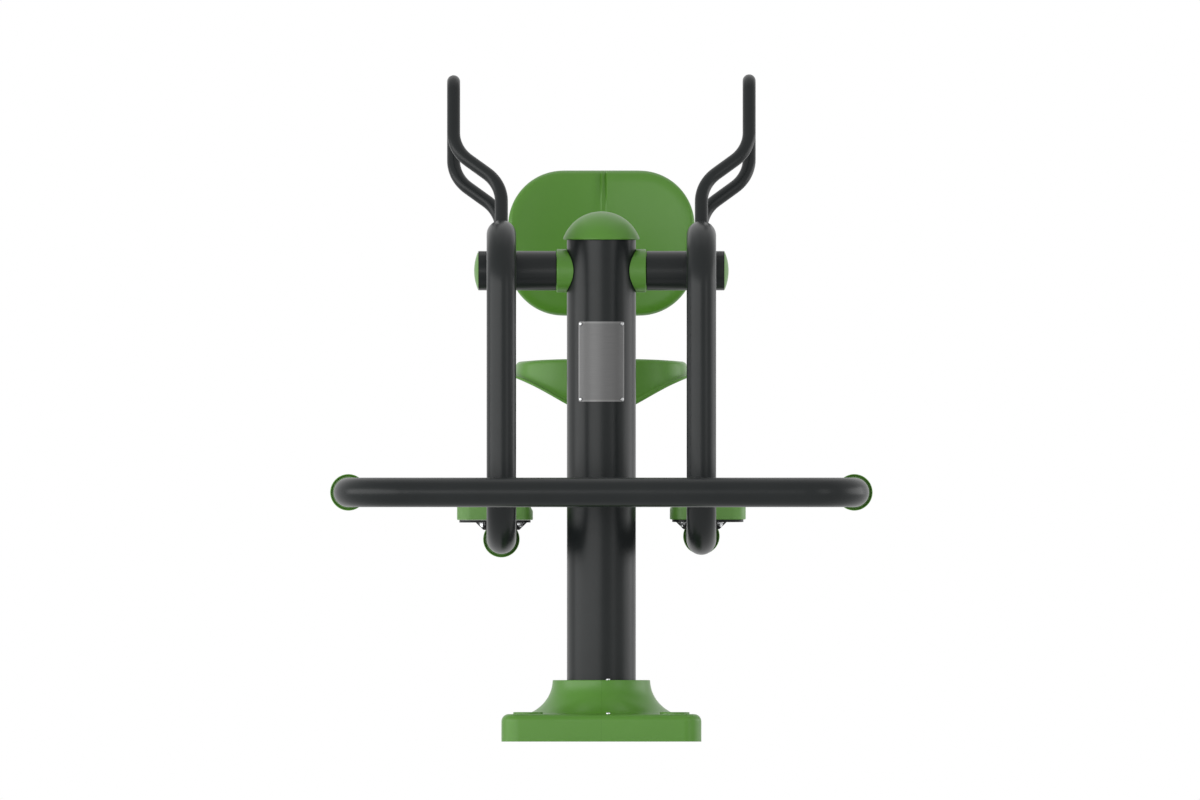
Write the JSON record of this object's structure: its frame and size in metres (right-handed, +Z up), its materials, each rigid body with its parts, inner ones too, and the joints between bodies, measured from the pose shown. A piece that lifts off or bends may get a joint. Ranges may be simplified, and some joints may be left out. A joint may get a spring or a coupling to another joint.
{
  "type": "outdoor air walker",
  "caption": "Seated outdoor air walker: round post with dome cap, swinging C-shaped arms with foot pads and loop handles, moulded seat and backrest, and a U-shaped guard bar.",
  "frame": {"origin": "on the post's axis at the underside of the base plate", "axes": "+Z up along the post; +Y from the post towards the seat; +X to the right seen from the guard bar's side"},
  "size_m": [1.101, 1.1516, 1.3547],
  "materials": {
    "anthracite_coat": "satin powder coat",
    "green_plastic": "satin moulded plastic",
    "black_coat": "satin powder coat",
    "black_plastic": "matte",
    "zinc_plate": "bright zinc",
    "machined_steel": "machined",
    "stop_rubber": "matte",
    "plate_aluminium": "brushed"
  },
  "bodies": {
    "frame": {"base_plate": "anthracite_coat", "anchor_rear_right": "zinc_plate", "anchor_rear_left": "zinc_plate", "anchor_front_right": "zinc_plate", "anchor_front_left": "zinc_plate", "post_tube": "anthracite_coat", "post_cap": "green_plastic", "base_cover_left": "green_plastic", "base_cover_right": "green_plastic", "cover_neck_screw": "zinc_plate", "cover_slab_screw": "zinc_plate", "axle_shaft": "machined_steel", "left_axle_boss": "anthracite_coat", "right_axle_boss": "anthracite_coat", "left_axle_collar": "green_plastic", "right_axle_collar": "green_plastic", "left_stop_spacer": "machined_steel", "right_stop_spacer": "machined_steel", "left_axle_nut": "zinc_plate", "right_axle_nut": "zinc_plate", "nameplate": "plate_aluminium", "nameplate_rivet_1": "zinc_plate", "nameplate_rivet_2": "zinc_plate", "nameplate_rivet_3": "zinc_plate", "nameplate_rivet_4": "zinc_plate", "guard_bar": "anthracite_coat", "guard_strut": "anthracite_coat", "left_guard_cap": "green_plastic", "right_guard_cap": "green_plastic", "seat_beam": "anthracite_coat", "seat_beam_cap": "black_plastic", "seat_pedestal": "anthracite_coat", "seat_plate": "black_coat", "seat_insert": "zinc_plate", "seat": "green_plastic", "backrest_plate": "black_coat", "backrest_insert": "zinc_plate", "backrest": "green_plastic"},
    "left_arm": {"left_hub_sleeve": "anthracite_coat", "left_inner_bearing": "machined_steel", "left_outer_bearing": "machined_steel", "left_stop_ring": "stop_rubber", "left_hub_cap": "green_plastic", "left_arm_tube": "anthracite_coat", "left_handle": "anthracite_coat", "left_arm_end_cap": "green_plastic", "left_pad": "green_plastic", "left_pad_insert": "zinc_plate", "left_pad_bracket": "black_coat"},
    "right_arm": {"right_hub_sleeve": "anthracite_coat", "right_inner_bearing": "machined_steel", "right_outer_bearing": "machined_steel", "right_stop_ring": "stop_rubber", "right_hub_cap": "green_plastic", "right_arm_tube": "anthracite_coat", "right_handle": "anthracite_coat", "right_arm_end_cap": "green_plastic", "right_pad": "green_plastic", "right_pad_insert": "zinc_plate", "right_pad_bracket": "black_coat"}
  },
  "joints": [
    {"name": "left_arm_swing", "type": "hinge", "parent": "frame", "child": "left_arm", "pos_m": [-0.203, 0, 0.956], "axis": [1, 0, 0], "range_deg": [-20, 20]},
    {"name": "right_arm_swing", "type": "hinge", "parent": "frame", "child": "right_arm", "pos_m": [0.203, 0, 0.956], "axis": [1, 0, 0], "range_deg": [-21.1, 18.9]}
  ]
}
